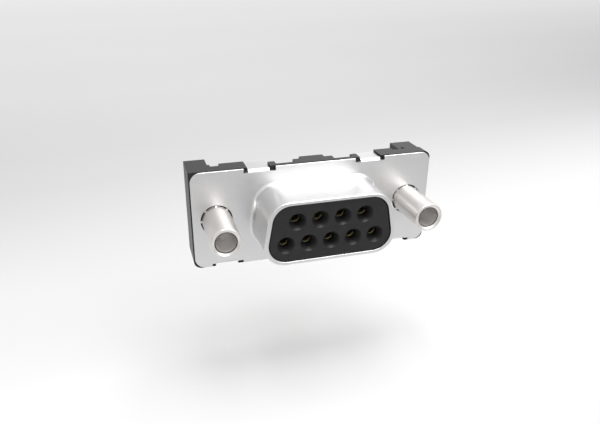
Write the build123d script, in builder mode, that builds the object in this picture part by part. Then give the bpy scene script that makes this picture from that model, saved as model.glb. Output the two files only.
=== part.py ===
from build123d import *
from math import atan, cos, degrees, radians, tan
import os

# Nine-way D-sub socket for a circuit board, with a threaded sleeve at each end.
# Millimetres. X runs along the connector, Z is up with the narrow side of the D on top,
# and -Y points out of the mating face. The origin is the middle of the flange's front face.

os.makedirs("parts", exist_ok=True)

# Steel shell: flange and drawn shroud
sheet = 0.40
flange_width = 30.80
flange_height = 12.40
flange_corner = 1.25
flange_edge_round = 0.06
shroud_width = 16.33
shroud_height = 7.90
shroud_corner = 2.65
shroud_depth = 6.13
side_lean = 10.0
root_bend = 0.44
flank_wall = 0.53
outer_rim_round = 0.13
inner_rim_round = 0.06

# Four tabs of the shell, folded back over the housing
tab_width = 2.58
tab_sink = 0.18
tab_bend = 0.06
tab_side_gap = 0.12
top_tab_inset = 8.23
bottom_tab_inset = 3.95
outer_relief_width = 0.58
inner_relief_width = 0.77
top_relief_depth = 0.52
bottom_relief_depth = 0.32
clinch_length = 1.40

# Threaded sleeves
sleeve_inset = 2.905
sleeve_diameter = 3.54
sleeve_front = 6.33
sleeve_bore = 2.36
sleeve_mouth = 3.04
sleeve_edge_round = 0.10
sleeve_hole = 3.90
knurl_diameter = 3.84
knurl_depth = 0.13
knurl_count = 16
knurl_tooth_width = 0.42
shank_diameter = 3.20
shank_flare = 4.10
flare_length = 0.55

# Front insulator
plug_gap = 0.08
face_recess = 0.13
face_edge_round = 0.12
plate_width = 18.30
plate_height = 9.60
plate_corner = 1.00
plate_thickness = 0.95

# Contacts
pitch = 2.77
row_spacing = 2.84
lower_count = 5
upper_count = 4
funnel_mouth = 2.15
funnel_depth = 0.75
pin_entry = 1.20
lip_thickness = 1.45
socket_diameter = 1.56
socket_bore = 1.04
socket_chamfer = 0.12
bore_floor = 0.45
slot_width = 0.20
slot_length = 3.40
collar_diameter = 2.10
collar_length = 0.60
neck_diameter = 1.40
tail_diameter = 0.76
tail_reach = 3.20
tail_chamfer = 0.20

# Rear housing
left_overhang = 0.15
right_overhang = 0.09
top_overhang = 0.07
bottom_overhang = 0.09
housing_corner = 0.90
rim_front = 0.18
rim_gap = 0.01
back_plane = 2.50
board_plane = 4.50
left_foot_width = 2.56
right_foot_width = 2.74
right_foot_inset = 0.92
right_foot_rise = 2.215
end_relief_plane = 2.00
left_notch_inset = 2.85
left_notch_width = 1.10
right_notch_width = 0.85
notch_floor = 1.75
notch_depth = 1.60
step_plane = 2.40
rim_thickness = 0.28
recess_depth = 0.88
recess_half_width = 4.92
hook_plane = 1.58
centre_block_width = 5.12
centre_block_plane = 1.70
centre_rib_width = 3.06
centre_rib_plane = 2.45
boss_diameter = 5.80
boss_plane = 3.90
dimple_diameter = 0.50
dimple_depth = 0.25
dimple_place = 2.10

# Clearance between pieces that fit in or on each other
fit_gap = 0.03

# Depths worked out from the sizes above
housing_front = sheet + fit_gap
plate_back = housing_front + plate_thickness
recess_back = plate_back + fit_gap
face_plane = face_recess - shroud_depth
socket_front = face_plane + lip_thickness + fit_gap
collar_front = plate_back - fit_gap - collar_length
plug_width = shroud_width - 2 * (flank_wall + plug_gap)
plug_height = shroud_height - 2 * (sheet + plug_gap)
plug_corner = shroud_corner - sheet - plug_gap
tab_outer = flange_height / 2 - tab_sink
tab_root = tab_outer - 2 * (tab_bend + sheet)
clinch_back = back_plane + fit_gap + sheet
groove_floor = tab_outer - sheet - fit_gap
sleeve_spacing = flange_width - 2 * sleeve_inset
top_tab_place = flange_width / 2 - top_tab_inset
bottom_tab_place = flange_width / 2 - bottom_tab_inset
housing_left = -flange_width / 2 - left_overhang
housing_right = flange_width / 2 + right_overhang
housing_width = housing_right - housing_left
housing_top = flange_height / 2 + top_overhang
housing_bottom = -flange_height / 2 - bottom_overhang
housing_height = housing_top - housing_bottom
left_foot_end = housing_left + left_foot_width
left_notch_start = housing_left + left_notch_inset
right_foot_end = housing_right - right_foot_inset
right_foot_start = right_foot_end - right_foot_width
right_notch_start = right_foot_start - right_notch_width
rim_back = housing_front + rim_thickness
hook_width = top_tab_place - tab_width / 2 - tab_side_gap - recess_half_width


def facing_front(depth):
    """Plane at Y = depth that looks out of the mating face, with X to the right and Z up."""
    return Plane(origin=(0, depth, 0), x_dir=(1, 0, 0), z_dir=(0, -1, 0))


def facing_back(depth):
    """Plane at Y = depth that looks towards the circuit board, with Z up."""
    return Plane(origin=(0, depth, 0), x_dir=(-1, 0, 0), z_dir=(0, 1, 0))


def d_outline(width, height, corner):
    """Draw the D in the open sketch: narrow side up, leaning sides, rounded corners."""
    lean = radians(side_lean)
    sharp_width = width + 2 * corner * (1 / cos(lean) + tan(lean) - 1)
    outline = Trapezoid(sharp_width, height, 90 - side_lean)
    fillet(outline.vertices(), corner)


def row_places(count, height):
    """Places of one row of contacts, left to right."""
    first = -(count - 1) * pitch / 2
    return [(first + index * pitch, height) for index in range(count)]


contact_places = row_places(lower_count, -row_spacing / 2) + row_places(upper_count, row_spacing / 2)
sleeve_places = [(-sleeve_spacing / 2, 0), (sleeve_spacing / 2, 0)]
tab_places = [
    (-top_tab_place, 1),
    (top_tab_place, 1),
    (-bottom_tab_place, -1),
    (bottom_tab_place, -1),
]
relief_depths = {1: top_relief_depth, -1: bottom_relief_depth}
housing_edges = {1: housing_top, -1: housing_bottom}


# Shell: flange plate, drawn shroud, holes for the sleeves and four folded tabs
with BuildPart() as front_shell:
    with BuildSketch(facing_front(0)):
        RectangleRounded(flange_width, flange_height, flange_corner)
    extrude(amount=-sheet)
    fillet(front_shell.faces().sort_by(Axis.Y)[0].edges(), flange_edge_round)
    with BuildSketch(facing_front(0)):
        d_outline(shroud_width, shroud_height, shroud_corner)
    extrude(amount=shroud_depth)
    fillet(front_shell.edges(Select.LAST).group_by(Axis.Y)[-1], root_bend)
    with BuildSketch(facing_front(sheet)):
        d_outline(shroud_width - 2 * flank_wall, shroud_height - 2 * sheet, shroud_corner - sheet)
    extrude(amount=sheet + shroud_depth, mode=Mode.SUBTRACT)
    fillet(front_shell.edges(Select.LAST).group_by(Axis.Y)[-1], root_bend + sheet)
    fillet(front_shell.faces().sort_by(Axis.Y)[0].outer_wire().edges(), outer_rim_round)
    fillet(front_shell.faces().sort_by(Axis.Y)[0].inner_wires()[0].edges(), inner_rim_round)
    with BuildSketch(facing_front(0)):
        with Locations(*sleeve_places):
            Circle(sleeve_hole / 2)
        for place, side in tab_places:
            outwards = 1 if place > 0 else -1
            relief_middle = place + outwards * (outer_relief_width - inner_relief_width) / 2
            with Locations((relief_middle, side * flange_height / 2)):
                Rectangle(outer_relief_width + tab_width + inner_relief_width, 2 * relief_depths[side])
            with Locations((place, side * flange_height / 2)):
                Rectangle(tab_width, flange_height - 2 * tab_root)
    extrude(amount=-sheet, mode=Mode.SUBTRACT)
    for place, side in tab_places:
        with BuildSketch(Plane.YZ.offset(place)):
            with BuildLine():
                root = side * tab_root
                outer = side * tab_outer
                inner = side * (tab_outer - sheet)
                end = side * (tab_outer - clinch_length)
                outside = FilletPolyline(
                    (0, root), (0, outer), (clinch_back, outer), (clinch_back, end),
                    radius=tab_bend + sheet,
                )
                inside = FilletPolyline(
                    (clinch_back - sheet, end), (clinch_back - sheet, inner), (sheet, inner), (sheet, root),
                    radius=tab_bend,
                )
                Line(outside @ 1, inside @ 0)
                Line(inside @ 1, outside @ 0)
            make_face()
        extrude(amount=tab_width / 2, both=True)
front_shell.part.label = "front_shell"
export_step(front_shell.part, "parts/front_shell.step")


# Front insulator: D-shaped plug that fills the shroud, on a plate held behind the flange
with BuildPart() as front_insulator:
    with BuildSketch(facing_front(housing_front)):
        RectangleRounded(plate_width, plate_height, plate_corner)
    extrude(amount=-plate_thickness)
    with BuildSketch(facing_front(housing_front)):
        d_outline(plug_width, plug_height, plug_corner)
    extrude(amount=housing_front - face_plane)
    fillet(front_insulator.faces().sort_by(Axis.Y)[0].edges(), face_edge_round)
    with Locations(facing_front(face_plane)):
        with Locations(*contact_places):
            CounterSinkHole(
                radius=pin_entry / 2,
                counter_sink_radius=funnel_mouth / 2,
                counter_sink_angle=2 * degrees(atan((funnel_mouth - pin_entry) / 2 / funnel_depth)),
            )
    with BuildSketch(facing_back(plate_back)):
        with Locations(*[(-x, z) for x, z in contact_places]):
            Circle(socket_diameter / 2 + fit_gap)
    extrude(amount=-(plate_back - face_plane - lip_thickness), mode=Mode.SUBTRACT)
    with BuildSketch(facing_back(plate_back)):
        with Locations(*[(-x, z) for x, z in contact_places]):
            Circle(collar_diameter / 2 + fit_gap)
    extrude(amount=-(plate_back - collar_front + fit_gap), mode=Mode.SUBTRACT)
front_insulator.part.label = "front_insulator"
export_step(front_insulator.part, "parts/front_insulator.step")


def housing_outline():
    """Draw the housing's outline in the open sketch: three round corners, the top left one square."""
    with Locations(((housing_left + housing_right) / 2, (housing_top + housing_bottom) / 2)):
        RectangleRounded(housing_width, housing_height, housing_corner)
    with Locations((housing_left, housing_top)):
        Rectangle(housing_corner, housing_corner, align=(Align.MIN, Align.MAX))


def cut_edge(start, width, side, depth, front, back):
    """Cut a block out of the housing's upper or lower edge, between two depths."""
    with BuildSketch(facing_front(front)) as block:
        with Locations((start + width / 2, housing_edges[side])):
            Rectangle(width, 2 * depth)
    extrude(block.sketch, amount=front - back, mode=Mode.SUBTRACT)


def add_edge_block(width, back):
    """Put a block back into the upper recess, from the rim to a depth."""
    with BuildSketch(facing_front(housing_front)) as block:
        with Locations((0, housing_top)):
            Rectangle(width, recess_depth, align=(Align.CENTER, Align.MAX))
    extrude(block.sketch, amount=housing_front - back)


# Rear housing: block that the flange is sunk into, with feet that stand on the circuit board
with BuildPart() as rear_housing:
    with BuildSketch(facing_front(rim_front)):
        housing_outline()
    extrude(amount=rim_front - back_plane)
    with BuildSketch(facing_front(rim_front)):
        RectangleRounded(flange_width + 2 * rim_gap, flange_height + 2 * rim_gap, flange_corner + rim_gap)
    extrude(amount=rim_front - housing_front, mode=Mode.SUBTRACT)
    with BuildSketch(facing_back(back_plane)):
        with Locations(*sleeve_places):
            Circle(boss_diameter / 2)
    extrude(amount=boss_plane - back_plane)
    with BuildSketch(facing_front(housing_front)):
        housing_outline()
        with Locations((housing_left, housing_top)):
            Rectangle(left_foot_width, housing_height, align=(Align.MIN, Align.MAX), mode=Mode.INTERSECT)
    extrude(amount=housing_front - board_plane)
    with BuildSketch(facing_front(back_plane)):
        with Locations((right_foot_start, housing_top)):
            Rectangle(right_foot_width, housing_height - right_foot_rise, align=(Align.MIN, Align.MAX))
    extrude(amount=back_plane - board_plane)
    cut_edge(right_foot_end, right_foot_inset, 1, housing_height, end_relief_plane, back_plane)
    cut_edge(left_foot_end, left_notch_start - left_foot_end, 1, notch_depth, step_plane, back_plane)
    cut_edge(left_notch_start, left_notch_width, 1, notch_depth, notch_floor, back_plane)
    cut_edge(right_notch_start, right_notch_width, 1, notch_depth, notch_floor, back_plane)
    for side in (1, -1):
        cut_edge(-recess_half_width, 2 * recess_half_width, side, recess_depth, rim_back, back_plane)
    add_edge_block(centre_block_width, centre_block_plane)
    add_edge_block(centre_rib_width, centre_rib_plane)
    for place, side in tab_places:
        cut_edge(
            place - tab_width / 2 - tab_side_gap,
            tab_width + 2 * tab_side_gap,
            side,
            abs(housing_edges[side]) - groove_floor,
            rim_front,
            back_plane,
        )
    for start in (-recess_half_width - hook_width, recess_half_width):
        cut_edge(start, hook_width, 1, recess_depth, hook_plane, back_plane)
    with BuildSketch(facing_front(housing_front)):
        RectangleRounded(plate_width + 2 * fit_gap, plate_height + 2 * fit_gap, plate_corner + fit_gap)
    extrude(amount=housing_front - recess_back, mode=Mode.SUBTRACT)
    with Locations(facing_back(back_plane)):
        with Locations(*[(-x, z) for x, z in contact_places]):
            Hole(neck_diameter / 2 + fit_gap)
    with Locations(facing_back(board_plane)):
        with Locations(*sleeve_places):
            CounterBoreHole(
                radius=shank_diameter / 2 + fit_gap,
                counter_bore_radius=shank_flare / 2 + fit_gap,
                counter_bore_depth=board_plane - boss_plane + flare_length + fit_gap,
            )
    with Locations(Plane(origin=(sleeve_spacing / 2, dimple_place, housing_top), z_dir=(0, 0, 1))):
        Hole(dimple_diameter / 2, depth=dimple_depth)
rear_housing.part.label = "rear_housing"
export_step(rear_housing.part, "parts/rear_housing.step")


def export_contact(number, place):
    """One turned socket: slotted barrel, collar, neck and solder tail."""
    axis_plane = Plane(origin=(place[0], 0, place[1]), x_dir=(1, 0, 0), z_dir=(0, 0, 1))
    bore_end = collar_front + collar_length - bore_floor
    with BuildPart() as contact:
        with BuildSketch(axis_plane):
            with BuildLine():
                Polyline(
                    (0, bore_end),
                    (socket_bore / 2, bore_end),
                    (socket_bore / 2, socket_front + socket_chamfer),
                    (socket_bore / 2 + socket_chamfer, socket_front),
                    (socket_diameter / 2, socket_front),
                    (socket_diameter / 2, collar_front),
                    (collar_diameter / 2, collar_front),
                    (collar_diameter / 2, collar_front + collar_length),
                    (neck_diameter / 2, collar_front + collar_length),
                    (neck_diameter / 2, back_plane),
                    (tail_diameter / 2, back_plane),
                    (tail_diameter / 2, board_plane + tail_reach - tail_chamfer),
                    (tail_diameter / 2 - tail_chamfer, board_plane + tail_reach),
                    (0, board_plane + tail_reach),
                    close=True,
                )
            make_face()
        revolve(axis=Axis((place[0], 0, place[1]), (0, 1, 0)))
        with Locations(facing_front(socket_front)):
            with Locations(place):
                Box(socket_diameter, slot_width, 2 * slot_length, mode=Mode.SUBTRACT)
    contact.part.label = f"contact_{number}"
    export_step(contact.part, f"parts/contact_{number}.step")


for number, place in enumerate(contact_places, start=1):
    export_contact(number, place)


def export_sleeve(name, centre):
    """One threaded sleeve: round barrel, knurled collar in the flange, shank flared behind the boss."""
    axis_plane = Plane(origin=(centre, 0, 0), x_dir=(1, 0, 0), z_dir=(0, 0, 1))
    mouth_depth = (sleeve_mouth - sleeve_bore) / 2
    collar_back = housing_front - fit_gap
    flare_front = boss_plane - flare_length
    with BuildPart() as sleeve:
        with BuildSketch(axis_plane):
            with BuildLine():
                Polyline(
                    (sleeve_bore / 2, -sleeve_front + mouth_depth),
                    (sleeve_mouth / 2, -sleeve_front),
                    (sleeve_diameter / 2 - sleeve_edge_round, -sleeve_front),
                    (sleeve_diameter / 2, -sleeve_front + sleeve_edge_round),
                    (sleeve_diameter / 2, collar_back),
                    (shank_diameter / 2, collar_back),
                    (shank_diameter / 2, flare_front),
                    (shank_flare / 2, flare_front),
                    (shank_flare / 2, boss_plane),
                    (sleeve_bore / 2, boss_plane),
                    close=True,
                )
            make_face()
        revolve(axis=Axis((centre, 0, 0), (0, 1, 0)))
        with BuildSketch(facing_front(0)):
            with Locations((centre, 0)):
                with PolarLocations(knurl_diameter / 2 - knurl_depth, knurl_count):
                    Rectangle(2 * knurl_depth, knurl_tooth_width)
        extrude(amount=-collar_back)
    sleeve.part.label = name
    export_step(sleeve.part, f"parts/{name}.step")


export_sleeve("threaded_sleeve_left", -sleeve_spacing / 2)
export_sleeve("threaded_sleeve_right", sleeve_spacing / 2)
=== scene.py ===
# %% [markdown]
# # Dressing a board-mount D-sub socket
# The connector is a steel shell with a D-shaped shroud, a black insulator that fills the shroud, a black
# housing behind the flange, nine gold contacts and two threaded sleeves. The solids come from a packed
# CAD model, so their sizes are already right. This lesson gives each of them the finish of the real
# part, cuts real threads into the sleeves, and lights the whole like a product photograph.

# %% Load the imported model
import math
import bpy
from mathutils import Matrix, Vector


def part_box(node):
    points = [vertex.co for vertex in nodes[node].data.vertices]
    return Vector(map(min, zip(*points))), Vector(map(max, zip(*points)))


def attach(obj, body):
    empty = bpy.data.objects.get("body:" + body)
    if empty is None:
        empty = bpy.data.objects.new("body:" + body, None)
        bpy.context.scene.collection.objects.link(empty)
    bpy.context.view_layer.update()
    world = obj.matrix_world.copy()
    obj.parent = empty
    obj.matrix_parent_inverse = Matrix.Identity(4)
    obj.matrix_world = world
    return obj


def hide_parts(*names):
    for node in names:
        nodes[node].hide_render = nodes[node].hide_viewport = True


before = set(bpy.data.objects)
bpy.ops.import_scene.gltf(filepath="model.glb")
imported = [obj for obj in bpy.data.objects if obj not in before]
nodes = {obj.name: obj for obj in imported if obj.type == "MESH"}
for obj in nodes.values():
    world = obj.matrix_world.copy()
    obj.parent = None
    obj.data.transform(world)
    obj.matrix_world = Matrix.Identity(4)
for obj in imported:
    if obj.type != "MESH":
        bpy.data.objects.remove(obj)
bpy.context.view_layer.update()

MM = 0.001
print("nodes:", sorted(nodes))

# %% [markdown]
# ## A camera that looks as the photographer did
# A product photograph is taken with a longer lens from a little above and to the left. Where the camera
# stood was worked out from the standard sizes of the shell: two sleeves exactly 24.99 mm apart and a
# flange 30.8 mm wide fit the picture from one place only. The turn, the tilt and the roll below are that
# camera's, and the lens follows from the focal length in pixels.

# %% Place the camera
PICTURE_WIDTH = 600
FOCAL_PIXELS = 581.4
SENSOR_WIDTH = 36.0
CAMERA_PLACE = Vector((-21.624, -63.309, 29.815)) * MM
CAMERA_TURN, CAMERA_TILT, CAMERA_ROLL = -17.18, -24.36, -0.54


def turned(degrees, axis):
    """A rotation matrix about one axis."""
    return Matrix.Rotation(math.radians(degrees), 4, axis)


lens = bpy.data.cameras.new("product_camera")
lens.sensor_width = SENSOR_WIDTH
lens.lens = FOCAL_PIXELS / PICTURE_WIDTH * SENSOR_WIDTH
lens.clip_start = 1 * MM
camera = bpy.data.objects.new("product_camera", lens)
bpy.context.scene.collection.objects.link(camera)
look = turned(CAMERA_TURN, "Z") @ turned(CAMERA_TILT, "X") @ turned(CAMERA_ROLL, "Y") @ turned(90, "X")
camera.matrix_world = Matrix.Translation(CAMERA_PLACE) @ look
bpy.context.scene.camera = camera
print("lens in mm:", round(lens.lens, 1))

# %% [markdown]
# ## Shader maths that reads like arithmetic
# A finish is a small calculation made at every point of a surface. In the node editor each plus or times
# is a node, which soon hides the idea. So one small class wraps an output socket and turns Python's own
# signs into Math nodes, and a second one adds any other kind of node in a single line.


# %% A socket to calculate with, and a graph to put nodes in
class Value:
    """One output socket. Python's arithmetic on it adds Math nodes."""

    def __init__(self, graph, socket):
        self.graph = graph
        self.socket = socket

    def maths(self, operation, first, second):
        return self.graph.node("ShaderNodeMath", {"operation": operation}, {0: first, 1: second})

    def __add__(self, other):
        return self.maths("ADD", self, other)

    __radd__ = __add__

    def __sub__(self, other):
        return self.maths("SUBTRACT", self, other)

    def __rsub__(self, other):
        return self.maths("SUBTRACT", other, self)

    def __mul__(self, other):
        return self.maths("MULTIPLY", self, other)

    __rmul__ = __mul__


class Graph:
    """A node tree that is built from Python."""

    def __init__(self, tree):
        self.tree = tree
        tree.nodes.clear()

    def node(self, kind, settings=None, inputs=None, output=0):
        """Add a node: its type, its settings, then the values or links of its sockets."""
        made = self.tree.nodes.new(kind)
        for name, value in (settings or {}).items():
            if name == "stops":
                while len(made.color_ramp.elements) < len(value):
                    made.color_ramp.elements.new(1.0)
                for stop, (place, shade) in zip(made.color_ramp.elements, value):
                    stop.position = place
                    stop.color = (shade, shade, shade, 1)
            else:
                setattr(made, name, value)
        for name, value in (inputs or {}).items():
            if isinstance(value, Value):
                self.tree.links.new(value.socket, made.inputs[name])
            else:
                made.inputs[name].default_value = value
        return Value(self, made.outputs[output]) if made.outputs else None

    def millimetres(self):
        """The place on the object, in millimetres."""
        place = self.node("ShaderNodeTexCoord", output="Object")
        return self.node("ShaderNodeVectorMath", {"operation": "SCALE"}, {"Vector": place, "Scale": 1 / MM})

    def stretched(self, place, factors):
        """A place drawn out or pressed together along the axes."""
        return self.node("ShaderNodeVectorMath", {"operation": "MULTIPLY"}, {0: place, 1: factors})

    def distance_along(self, place, direction):
        """How far a place lies along a direction, or how closely two directions agree."""
        return self.node(
            "ShaderNodeVectorMath", {"operation": "DOT_PRODUCT"}, {0: place, 1: direction}, output="Value",
        )

    def noise(self, place, scale, detail=2.0, roughness=0.5):
        """Soft random variation between 0 and 1."""
        return self.node(
            "ShaderNodeTexNoise", None,
            {"Vector": place, "Scale": scale, "Detail": detail, "Roughness": roughness},
        )

    def ramp(self, value, stops):
        """Reshape a value with grey stops."""
        return self.node("ShaderNodeValToRGB", {"stops": stops}, {"Fac": value})

    def blend(self, factor, first, second):
        """Go from one colour to another."""
        return self.node(
            "ShaderNodeMix", {"data_type": "RGBA"},
            {"Factor": factor, "A": first, "B": second}, output="Result",
        )

    def bump(self, height, depth_mm, strength=1.0):
        """Tilt the surface's normal as a height pattern would."""
        return self.node(
            "ShaderNodeBump", None, {"Height": height, "Distance": depth_mm * MM, "Strength": strength},
        )


def new_finish(name, constants, varying):
    """A material with one Principled shader: sockets that stay the same, and sockets that vary."""
    material = bpy.data.materials.new(name)
    material.use_nodes = True
    graph = Graph(material.node_tree)
    shader = graph.node("ShaderNodeBsdfPrincipled", None, {**constants, **varying(graph)})
    graph.node("ShaderNodeOutputMaterial", None, {"Surface": shader})
    print("finish:", name, "with", len(material.node_tree.nodes), "nodes")
    return material


def dress(name, material):
    """Give a CAD node its finish."""
    slots = nodes[name].data.materials
    slots.clear()
    slots.append(material)


# %% [markdown]
# ## Tinned steel for the shell
# The shell is stamped from thin steel and plated. Such a sheet is a soft mirror: it shows the white
# surroundings, blurred. What tells it from plastic chrome is its small unevenness. The rolling of the
# sheet leaves very faint lines along its length, handling leaves a few hazy places, and the plating is
# not equally bright everywhere. All three are noise, at three sizes.

# %% Make the shell's finish


def steel_surface(graph):
    place = graph.millimetres()
    haze = graph.noise(place, 0.35, 3.0)
    grain = graph.noise(graph.stretched(place, (0.35, 1.0, 6.0)), 2.2, 3.0)
    pits = graph.noise(place, 9.0, 2.0)
    tone = graph.ramp(haze * 0.6 + grain * 0.4, [(0.3, 0.0), (0.7, 1.0)])
    return {
        "Base Color": graph.blend(tone, (0.655, 0.655, 0.66, 1), (0.70, 0.70, 0.70, 1)),
        "Roughness": 0.29 + haze * 0.07 + grain * 0.05,
        "Normal": graph.bump(grain * 0.7 + pits * 0.3, 0.0012),
    }


steel = new_finish("tinned_steel", {"Metallic": 1.0}, steel_surface)
dress("front_shell", steel)

# %% [markdown]
# ## Black moulded plastic
# The housing and the front insulator are moulded in a glass-filled black plastic. It is dark, but it
# never looks flat: the mould leaves a fine grain, glass fibres near the surface make it a little cloudy,
# and where light grazes it the sheen lifts it to a clear grey. The base colour therefore stays almost
# black, and the roughness and a tiny bump do the work.

# %% Make the plastic finishes


def moulded_surface(dark, light, rough):
    """A moulded plastic between two greys, with its mean roughness."""

    def surface(graph):
        place = graph.millimetres()
        cloud = graph.noise(place, 0.8, 3.0)
        grain = graph.noise(place, 14.0, 2.0, 0.6)
        tone = graph.ramp(cloud * 0.5 + grain * 0.5, [(0.35, 0.0), (0.65, 1.0)])
        return {
            "Base Color": graph.blend(tone, dark, light),
            "Roughness": rough - 0.05 + cloud * 0.06 + grain * 0.04,
            "Normal": graph.bump(grain, 0.004),
        }

    return surface


face_plastic = new_finish(
    "black_insulator", {"Specular IOR Level": 0.25},
    moulded_surface((0.008, 0.008, 0.008, 1), (0.013, 0.013, 0.013, 1), 0.36),
)
housing_plastic = new_finish(
    "black_housing", {"Specular IOR Level": 0.33},
    moulded_surface((0.008, 0.008, 0.0085, 1), (0.013, 0.013, 0.0135, 1), 0.40),
)
dress("front_insulator", face_plastic)
dress("rear_housing", housing_plastic)

# %% [markdown]
# ## Softened edges
# No moulded edge is perfectly sharp. A radius of a few hundredths of a millimetre catches a thin line of
# light, and that line is how the eye reads the edge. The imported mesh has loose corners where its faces
# meet, so a Weld modifier joins them first and a Bevel modifier then rounds every edge that is sharper
# than a set angle. The mesh itself is left alone.

# %% Round the edges of the plastic pieces
WELD_DISTANCE = 0.002
SHARP_ANGLE = 35


def soften(name, radius_mm):
    """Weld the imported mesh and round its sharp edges."""
    weld = nodes[name].modifiers.new("weld", "WELD")
    weld.merge_threshold = WELD_DISTANCE * MM
    edge = nodes[name].modifiers.new("edge", "BEVEL")
    edge.width = radius_mm * MM
    edge.segments = 2
    edge.limit_method = "ANGLE"
    edge.angle_limit = math.radians(SHARP_ANGLE)
    edge.harden_normals = True
    print(name, "edges rounded to", radius_mm, "mm")


soften("rear_housing", 0.025)
soften("front_insulator", 0.03)

# %% [markdown]
# ## Gold on the contacts
# The contacts are turned from brass and gold plated. Only a glint of them shows deep in the face's
# funnels, and the solder tails show at the back. The front end of each contact is painted dark and olive,
# as painted shade for the depth of its hole, so the colour changes along the contact. Turning leaves fine
# rings round the axis.

# %% Make the contacts' finish
# Painted shade: the contacts are darkest in front of Y = -4 mm and reach their plated colour at Y = -2 mm.
PAINTED_SHADE_EDGE = 4.0


def gold_surface(graph):
    place = graph.millimetres()
    rings = graph.noise(graph.stretched(place, (0.2, 12.0, 0.2)), 1.5, 2.0)
    along_contact = graph.node("ShaderNodeSeparateXYZ", None, {"Vector": place}, output="Y")
    # painted shade: the front end of each contact, deep in its funnel, is blended towards a dark olive
    unshaded_share = graph.ramp((along_contact + PAINTED_SHADE_EDGE) * 0.5, [(0.0, 0.0), (1.0, 1.0)])
    plating = graph.blend(rings, (0.66, 0.52, 0.27, 1), (0.76, 0.61, 0.34, 1))
    return {
        "Base Color": graph.blend(unshaded_share, (0.29, 0.255, 0.135, 1), plating),
        "Roughness": 0.42 + rings * 0.1,
        "Normal": graph.bump(rings, 0.001),
    }


gold = new_finish("gold_contact", {"Metallic": 1.0}, gold_surface)
contacts = [name for name in nodes if name.startswith("contact_")]
for name in contacts:
    dress(name, gold)
print("contacts:", len(contacts))

# %% [markdown]
# ## Threaded sleeves
# A jackscrew goes into each sleeve, so its bore is threaded: 4-40, which is a pitch of 0.635 mm. A thread
# could be faked with bump, but one looks straight into these bores, so it is cut for real, with the blunt,
# shallow crests of a plated thread. The sleeve is a stack of rings. Outside, each ring follows the turned
# profile and the knurl that bites into the flange. Inside, a ring's radius depends on where along the
# helix it is, which makes a true spiral with no seam. A wide, flat countersink opens the front, and a
# small step leads from it into the bore.

# %% Measure the sleeves and describe the thread
THREAD_PITCH = 0.635
CREST_RADIUS = 1.18
ROOT_RADIUS = 1.225
CREST_SHARE = 0.28
ROOT_SHARE = 0.18
THREAD_START = -5.6
RUN_IN = 2.4


def thread_radius(angle, y):
    """Radius of the bore at one place on the helix."""
    turn = (y / THREAD_PITCH - angle / math.tau) % 1.0
    rise = abs(2 * turn - 1)
    cut = min(max((rise - CREST_SHARE) / (1 - CREST_SHARE - ROOT_SHARE), 0.0), 1.0)
    fade = min(max((y - THREAD_START) / RUN_IN, 0.0), 1.0)
    return CREST_RADIUS + (ROOT_RADIUS - CREST_RADIUS) * cut * fade


# %% Describe the outside of a sleeve
KNURL_TEETH = 8
TOOTH_HALF = 0.08
ON_TOOTH = (-0.085, -0.070, -0.035, 0.0, 0.035, 0.070, 0.085)
VALLEY_START = 0.135
VALLEY_STEP = 0.047
between_teeth = [VALLEY_START + VALLEY_STEP * step for step in range(12)]
ring_angles = [
    tooth * math.tau / KNURL_TEETH + offset
    for tooth in range(KNURL_TEETH) for offset in [*ON_TOOTH, *between_teeth]
]
OUTSIDE = 1.77
ROOT_SWELL = 0.045
MOUTH = 1.62
CONE_SLOPE = 1.75
CONE_DEPTH = 0.20
FRONT = -6.33
EDGE = 0.10
KNURL_RADIUS = 1.92
KNURL_VALLEY = 1.70
KNURL_BACK = 0.40
SHANK_RADIUS = 1.60
FLARE_RADIUS = 2.05
FLARE_FRONT = 3.35
BACK = 3.90
BACK_MOUTH = ROOT_RADIUS + 0.06


def rounded(centre_y, centre_radius, size, start, end, steps=4):
    """A quarter-round of the profile, as places along Y and radii."""
    turns = [math.radians(start + (end - start) * step / steps) for step in range(steps + 1)]
    return [(centre_y + size * math.cos(turn), centre_radius + size * math.sin(turn)) for turn in turns]


outside_profile = (
    rounded(FRONT + EDGE, OUTSIDE - EDGE, EDGE, 180, 90)
    + [(y, OUTSIDE) for y in (-5.0, -3.5, -2.0, -0.6, -0.25)]
    + [(-0.10, OUTSIDE + ROOT_SWELL / 3), (-0.03, OUTSIDE + ROOT_SWELL)]
)


def knurl_ring(y):
    """A ring over the knurl: high on the teeth and low between them."""
    radii = []
    for angle in ring_angles:
        offset = (angle + math.pi / KNURL_TEETH) % (math.tau / KNURL_TEETH) - math.pi / KNURL_TEETH
        radii.append(KNURL_RADIUS if abs(offset) < TOOTH_HALF else KNURL_VALLEY)
    return y, radii


print("angles round a ring:", len(ring_angles))

# %% Describe the bore of a sleeve
BORE_STEPS = 180
BORE_STEP = (BACK - FRONT) / BORE_STEPS
CONE_RINGS = int(CONE_DEPTH / BORE_STEP) + 1


def bore_ring(y):
    """A ring of the bore: the thread, with a countersink at the front and a chamfer at the back."""
    front_cone = MOUTH - CONE_SLOPE * (y - FRONT) if y - FRONT < CONE_DEPTH else 0.0
    back_cone = BACK_MOUTH - (BACK - y)
    return y, [max(thread_radius(angle, y), front_cone, back_cone) for angle in ring_angles]


print("rings in the bore:", BORE_STEPS + 1, "of which", CONE_RINGS, "in the countersink")

# %% [markdown]
# ## From rings to a mesh
# Each ring has the same number of points, so the sleeve is a grid that is closed both ways: round the axis,
# and from the outside over the back into the bore and out again at the front. Every four neighbours make
# one face. Faces carry the number of their finish, which is worked out from the ring they belong to.

# %% Build one sleeve
TURNED_SHARP_ANGLE = 38


def round_ring(y, radius):
    """A plain round ring."""
    return y, [radius] * len(ring_angles)


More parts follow.
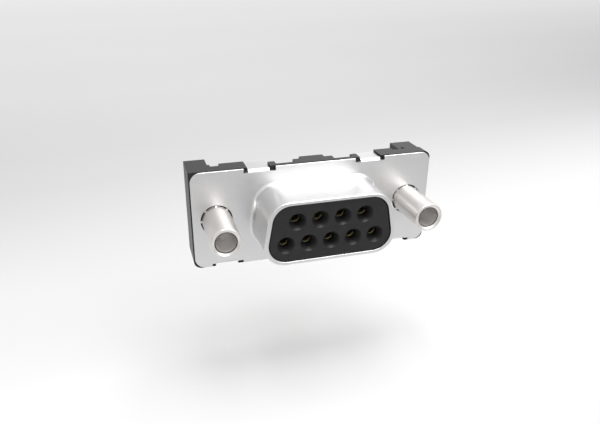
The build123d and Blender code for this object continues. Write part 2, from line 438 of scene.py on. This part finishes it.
def make_sleeve(name, centre_x):
    """One sleeve as a closed stack of rings."""
    rings = [round_ring(y, radius) for y, radius in outside_profile]
    rings += [knurl_ring(0.0), knurl_ring(KNURL_BACK)]
    rings += [round_ring(y, SHANK_RADIUS) for y in (KNURL_BACK, FLARE_FRONT)]
    flare_profile = rounded(FLARE_FRONT + EDGE, FLARE_RADIUS - EDGE, EDGE, 180, 90)
    flare_profile += rounded(BACK - EDGE, FLARE_RADIUS - EDGE, EDGE, 90, 0)
    rings += [round_ring(y, radius) for y, radius in flare_profile]
    rings += [bore_ring(BACK - BORE_STEP * step) for step in range(BORE_STEPS + 1)]
    points = [
        ((centre_x + radius * math.cos(angle)) * MM, y * MM, radius * math.sin(angle) * MM)
        for y, radii in rings for angle, radius in zip(ring_angles, radii)
    ]
    around = len(ring_angles)
    faces = []
    for ring in range(len(rings)):
        following = (ring + 1) % len(rings)
        for side in range(around):
            beside = (side + 1) % around
            faces.append((
                ring * around + side, ring * around + beside,
                following * around + beside, following * around + side,
            ))
    mesh = bpy.data.meshes.new(name)
    mesh.from_pydata(points, [], faces)
    bore_start = (len(rings) - 1 - BORE_STEPS) * around
    bore_end = (len(rings) - 1 - CONE_RINGS) * around
    # slot 1 carries the bore's painted light, and slot 2 the painted shade ring on the step behind the
    # countersink
    for face in mesh.polygons:
        in_bore = bore_start <= face.index < bore_end
        on_shaded_step = bore_end <= face.index < bore_end + around
        face.material_index = 1 if in_bore else 2 if on_shaded_step else 0
    mesh.validate()
    mesh.shade_smooth()
    mesh.set_sharp_from_angle(angle=math.radians(TURNED_SHARP_ANGLE))
    sleeve = bpy.data.objects.new(name, mesh)
    bpy.context.scene.collection.objects.link(sleeve)
    print(name, "has", len(mesh.polygons), "faces")
    return sleeve


# %% [markdown]
# ## Nickel on the sleeves
# The sleeves are turned on a lathe and nickel plated. Nickel is a shade warmer than tin and brighter, and
# the tool leaves fine rings that spread a highlight a little along the sleeve. The rings are noise that
# changes quickly along the axis and hardly at all round it. The bore is rougher than the outside, and its
# base colour is painted lighter than the outside nickel: painted light that lifts the shade deep in the
# bore. The step behind the countersink is painted with a thin dark ring round the opening: painted shade.
# A mesh may carry several finishes, one in each slot, and each face picks its own.

# %% Make the sleeves' finish and put them in place


def nickel_surface(graph):
    place = graph.millimetres()
    rings = graph.noise(graph.stretched(place, (0.15, 14.0, 0.15)), 1.6, 3.0)
    haze = graph.noise(place, 0.9, 2.0)
    return {
        "Base Color": graph.blend(haze, (0.71, 0.68, 0.655, 1), (0.76, 0.735, 0.71, 1)),
        "Roughness": 0.27 + haze * 0.05 + rings * 0.06,
        "Normal": graph.bump(rings, 0.0015),
    }


# painted light: the bore's base colour is lighter than the nickel outside, to lift the shade deep in the bore
def bore_surface(graph):
    place = graph.millimetres()
    haze = graph.noise(place, 1.4, 2.0)
    return {
        "Base Color": graph.blend(haze, (0.89, 0.87, 0.855, 1), (0.93, 0.91, 0.895, 1)),
        "Roughness": 0.48 + haze * 0.1,
    }


# painted shade: a thin near-black ring on the step behind the countersink, with a little noise in its
# darkness
def shade_ring_surface(graph):
    place = graph.millimetres()
    shade_variation = graph.noise(place, 3.0, 2.0)
    return {
        "Base Color": graph.blend(shade_variation, (0.05, 0.048, 0.045, 1), (0.12, 0.115, 0.11, 1)),
        "Roughness": 0.5 + shade_variation * 0.1,
    }


nickel = new_finish("nickel_sleeve", {"Metallic": 1.0}, nickel_surface)
bore_painted_light = new_finish("nickel_bore_painted_light", {"Metallic": 1.0}, bore_surface)
painted_shade_ring = new_finish("bore_edge_painted_shade", {"Metallic": 1.0}, shade_ring_surface)
for side in ("left", "right"):
    node = f"threaded_sleeve_{side}"
    low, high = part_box(node)
    sleeve = make_sleeve(f"sleeve_{side}", (low.x + high.x) / 2 / MM)
    sleeve.data.materials.append(nickel)
    sleeve.data.materials.append(bore_painted_light)
    sleeve.data.materials.append(painted_shade_ring)
    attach(sleeve, "root")
    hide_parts(node)

# %% [markdown]
# ## A pale floor with a soft shadow
# The floor is one large white plane some way under the connector, so that its shadow is soft and lies
# apart from it. Lit by lamps alone it would be grey. So what the camera, a mirror or glass sees of it is
# mixed with a plain glow, and enough of the lit floor stays in the mix to keep the shadow. How strong the
# glow is, and how large its share, both depend on the distance along the floor. That gives the backdrop
# its slow change from white in front through a pale grey band to a lighter grey far behind, as in a tent
# whose cloth is lit unevenly. A dull surface sees only the lit floor, so the glow adds no light to it.

# %% Make the floor's finish
FLOOR_COLOUR = (0.85, 0.85, 0.85, 1)
GLOW_TURN = math.radians(100)
GLOW_START = -100.0
GLOW_REACH = 600.0
GLOW_STOPS = [
    (-100, 0.42), (-70, 0.37), (-53, 0.30), (-42, 0.23), (-34, 0.20), (-26, 0.34), (-12, 0.39),
    (-3, 0.38), (4, 0.44), (10, 0.36), (18, 0.33), (29, 0.32), (43, 0.22), (59, 0.12),
    (75, 0.06), (100, 0.07), (125, 0.14), (170, 0.30), (256, 0.50), (375, 0.66), (600, 0.80),
]
SHARE_STOPS = [(-100, 0.85), (-70, 0.78), (-53, 0.70), (-42, 0.62), (-25, 0.55), (600, 0.55)]


def seen_directly(graph):
    """1 for what the camera, a reflection or glass sees, and 0 for light on its way to a dull surface."""
    kinds = [graph.node("ShaderNodeLightPath", output=name)
             for name in ("Is Camera Ray", "Is Glossy Ray", "Is Transmission Ray")]
    return graph.node("ShaderNodeMath", {"operation": "MINIMUM"}, {0: kinds[0] + kinds[1] + kinds[2], 1: 1.0})


floor_material = bpy.data.materials.new("floor")
floor_material.use_nodes = True
floor_graph = Graph(floor_material.node_tree)
distance = floor_graph.distance_along(
    floor_graph.millimetres(), (math.cos(GLOW_TURN), math.sin(GLOW_TURN), 0.0),
)
glow_length = GLOW_REACH - GLOW_START


def along_floor(stops):
    """A value that changes with the distance along the floor, from stops in millimetres."""
    return floor_graph.ramp(
        (distance - GLOW_START) * (1 / glow_length),
        [((place - GLOW_START) / glow_length, shade) for place, shade in stops],
    )


lit = floor_graph.node("ShaderNodeBsdfDiffuse", None, {"Color": FLOOR_COLOUR})
glowing = floor_graph.node("ShaderNodeEmission", None, {"Color": along_floor(GLOW_STOPS), "Strength": 1.0})
share = seen_directly(floor_graph) * along_floor(SHARE_STOPS)
mixed = floor_graph.node("ShaderNodeMixShader", None, {0: share, 1: lit, 2: glowing})
floor_graph.node("ShaderNodeOutputMaterial", None, {"Surface": mixed})
print("floor finish with", len(floor_material.node_tree.nodes), "nodes")

# %% Lay the floor
FLOOR_HEIGHT = -20.0
FLOOR_HALF = 4000.0

half = FLOOR_HALF * MM
floor_mesh = bpy.data.meshes.new("floor")
floor_mesh.from_pydata(
    [(-half, -half, FLOOR_HEIGHT * MM), (half, -half, FLOOR_HEIGHT * MM),
     (half, half, FLOOR_HEIGHT * MM), (-half, half, FLOOR_HEIGHT * MM)],
    [], [(0, 1, 2, 3)],
)
floor = bpy.data.objects.new("floor", floor_mesh)
floor_mesh.materials.append(floor_material)
bpy.context.scene.collection.objects.link(floor)
print("floor at", FLOOR_HEIGHT, "mm")

# %% [markdown]
# ## Studio light
# Bright metal is lit by what stands round it. A pale world does most of the work here, like a light tent:
# a shade darker near the horizon, brighter above. Two soft patches are added to it. A panel behind and to
# the right whitens the shroud's top and the tabs, which mirror that side. A weak fill low in front on the
# left lightens the flange as the sleeves mirror it. Each patch is the dot product of two directions, made
# into a soft disc by a ramp. Of the three lamps, the one overhead casts the shadow on the floor, and the
# two in front draw the stripes along the sleeves and light the countersinks.

# %% Build the light tent
TENT_STOPS = [(0.0, 0.75), (0.45, 0.75), (0.65, 1.0)]
PANEL_DIRECTION = Vector((0.50, 0.80, 0.35)).normalized()
PANEL_STOPS = [(0.91, 0.0), (1.0, 1.0)]
PANEL_LIGHT = 0.52
FILL_DIRECTION = Vector((-0.60, -0.78, 0.20)).normalized()
FILL_STOPS = [(0.84, 0.0), (0.96, 1.0)]
FILL_LIGHT = 0.16

world = bpy.data.worlds.new("studio")
bpy.context.scene.world = world
world.use_nodes = True
sky = Graph(world.node_tree)
direction = sky.node("ShaderNodeTexCoord", output="Generated")
tent = sky.ramp(sky.distance_along(direction, (0, 0, 1)), TENT_STOPS)
panel = sky.ramp(sky.distance_along(direction, PANEL_DIRECTION), PANEL_STOPS)
fill = sky.ramp(sky.distance_along(direction, FILL_DIRECTION), FILL_STOPS)
light_level = tent + panel * PANEL_LIGHT + fill * FILL_LIGHT
sky_light = sky.node("ShaderNodeBackground", None, {"Color": light_level, "Strength": 1.0})
sky.node("ShaderNodeOutputWorld", None, {"Surface": sky_light})
print("light tent with", len(world.node_tree.nodes), "nodes")

# %% Place the lamps


def soft_lamp(name, place_mm, size_mm, watts):
    """A square lamp that points at the connector."""
    light = bpy.data.lights.new(name, "AREA")
    light.size = size_mm * MM
    light.energy = watts
    lamp = bpy.data.objects.new(name, light)
    place = Vector(place_mm) * MM
    lamp.matrix_world = Matrix.Translation(place) @ place.to_track_quat("Z", "Y").to_matrix().to_4x4()
    bpy.context.scene.collection.objects.link(lamp)
    return lamp


soft_lamp("overhead", (46, -4, 245), 165, 0.72)
soft_lamp("front_right", (175, -149, 225), 230, 0.46)
soft_lamp("front", (133, -330, 182), 240, 0.33)
bpy.context.scene.view_settings.view_transform = "Standard"
